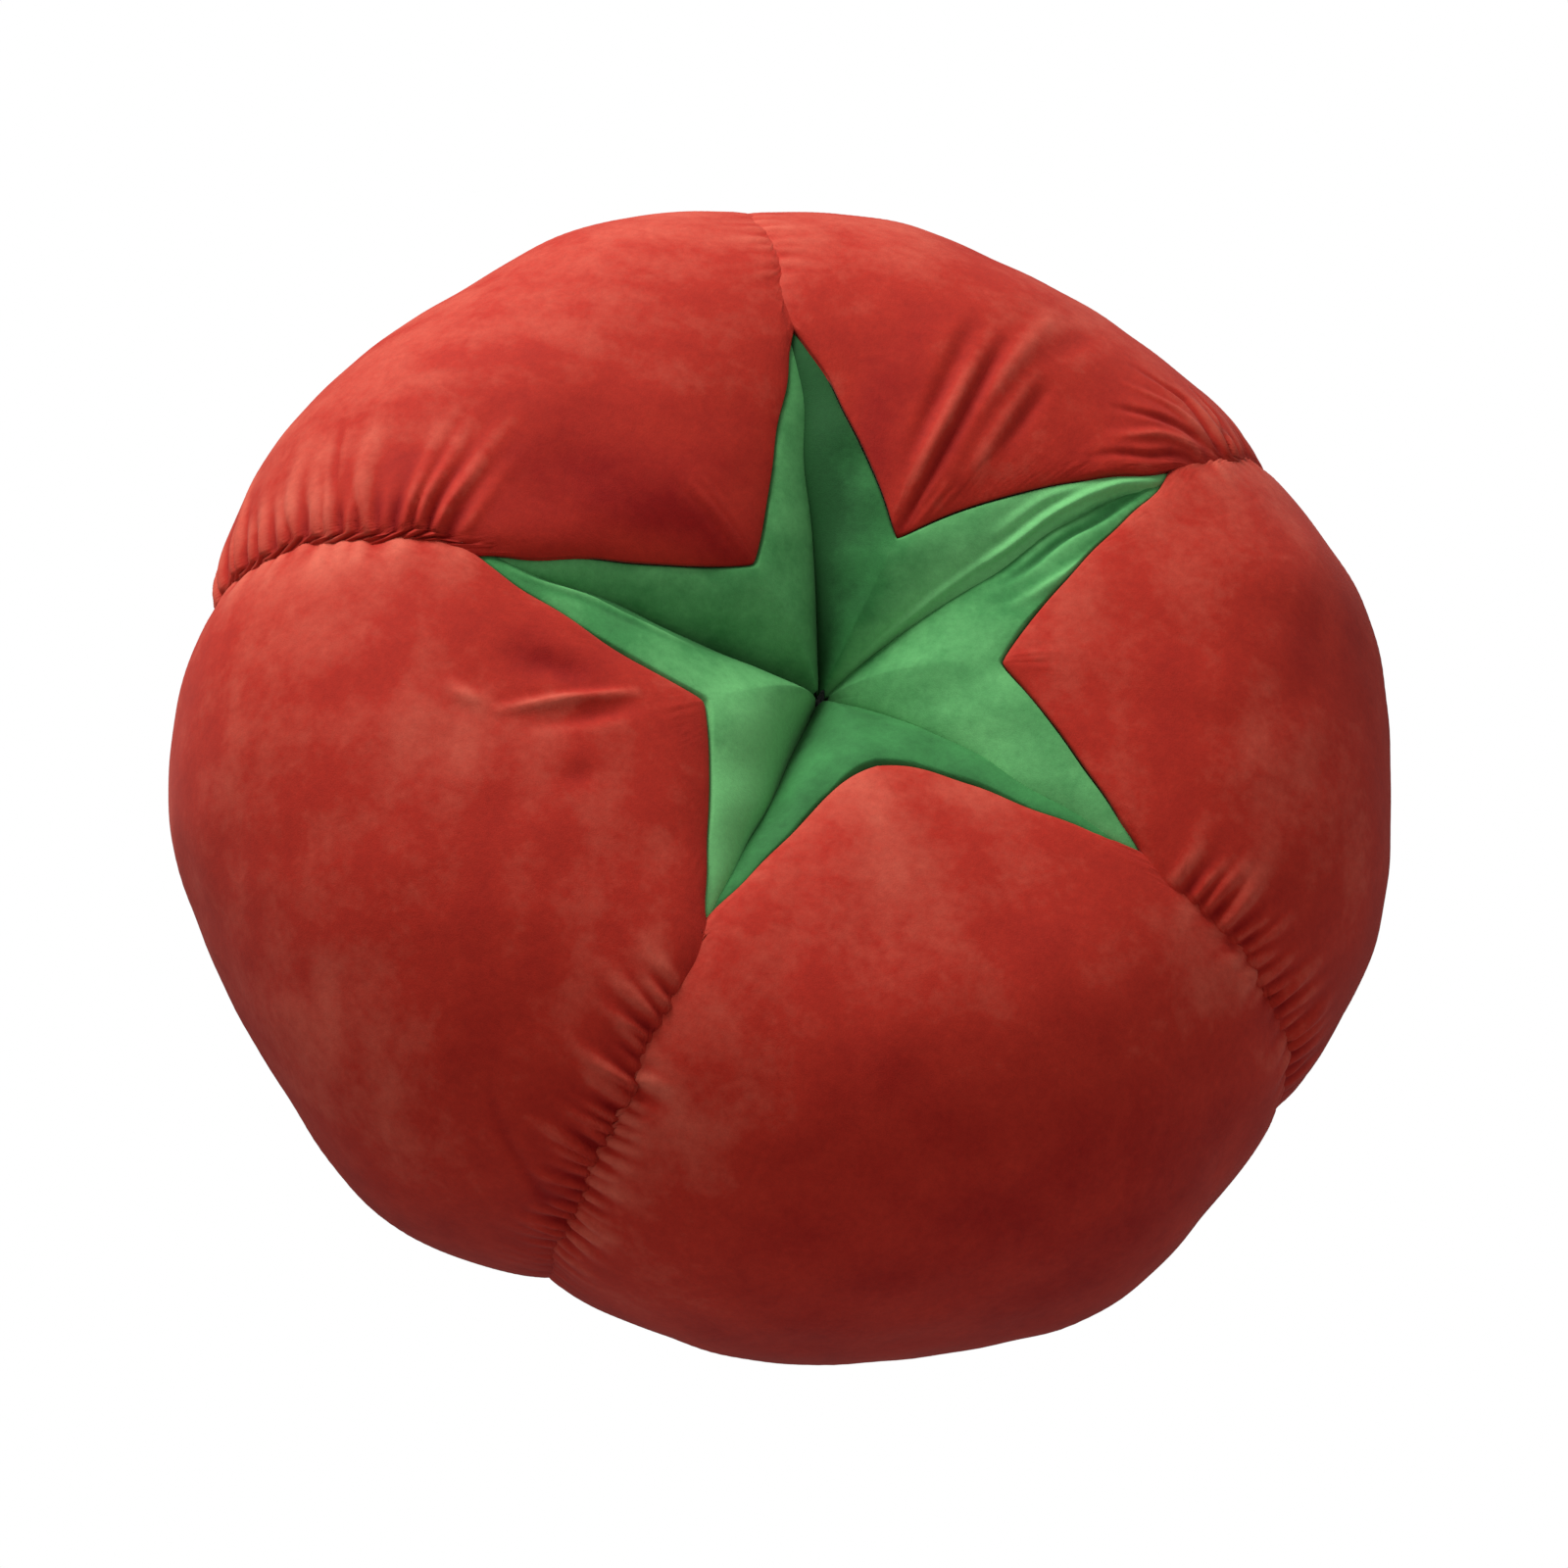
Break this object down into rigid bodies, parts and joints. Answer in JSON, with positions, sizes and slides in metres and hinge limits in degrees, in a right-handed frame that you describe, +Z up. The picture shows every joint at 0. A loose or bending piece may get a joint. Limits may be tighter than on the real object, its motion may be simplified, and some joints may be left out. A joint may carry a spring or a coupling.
{
  "type": "tomato cushion",
  "caption": "Stuffed velvet cushion in the form of a tomato pincushion, with bulging lobes, gathered seams, a pieced star top and a tufted crown.",
  "frame": {"origin": "centre of the base panel's flat underside, where the cushion stands", "axes": "+Z up through the crown, -Y towards the front seam, +X to the right seen from the front"},
  "size_m": [0.3978, 0.3918, 0.178],
  "materials": {
    "red_velvet": "matte",
    "green_velvet": "matte",
    "elastic": "matte",
    "filling": "matte",
    "twine": "matte",
    "green_thread": "matte",
    "red_thread": "matte",
    "button_metal": "satin"
  },
  "bodies": {
    "root": {"red_gore_1": "red_velvet", "red_gore_2": "red_velvet", "red_gore_3": "red_velvet", "red_gore_4": "red_velvet", "red_gore_5": "red_velvet", "calyx_leaf_1": "green_velvet", "calyx_leaf_2": "green_velvet", "calyx_leaf_3": "green_velvet", "calyx_leaf_4": "green_velvet", "calyx_leaf_5": "green_velvet", "gather_elastic_1": "elastic", "gather_elastic_2": "elastic", "gather_elastic_3": "elastic", "gather_elastic_4": "elastic", "gather_elastic_5": "elastic", "base_panel": "red_velvet", "fibre_filling": "filling", "tuft_twine": "twine", "crown_knot": "green_thread", "button_cap": "red_velvet", "button_back": "button_metal", "closing_stitches": "red_thread"}
  },
  "joints": []
}
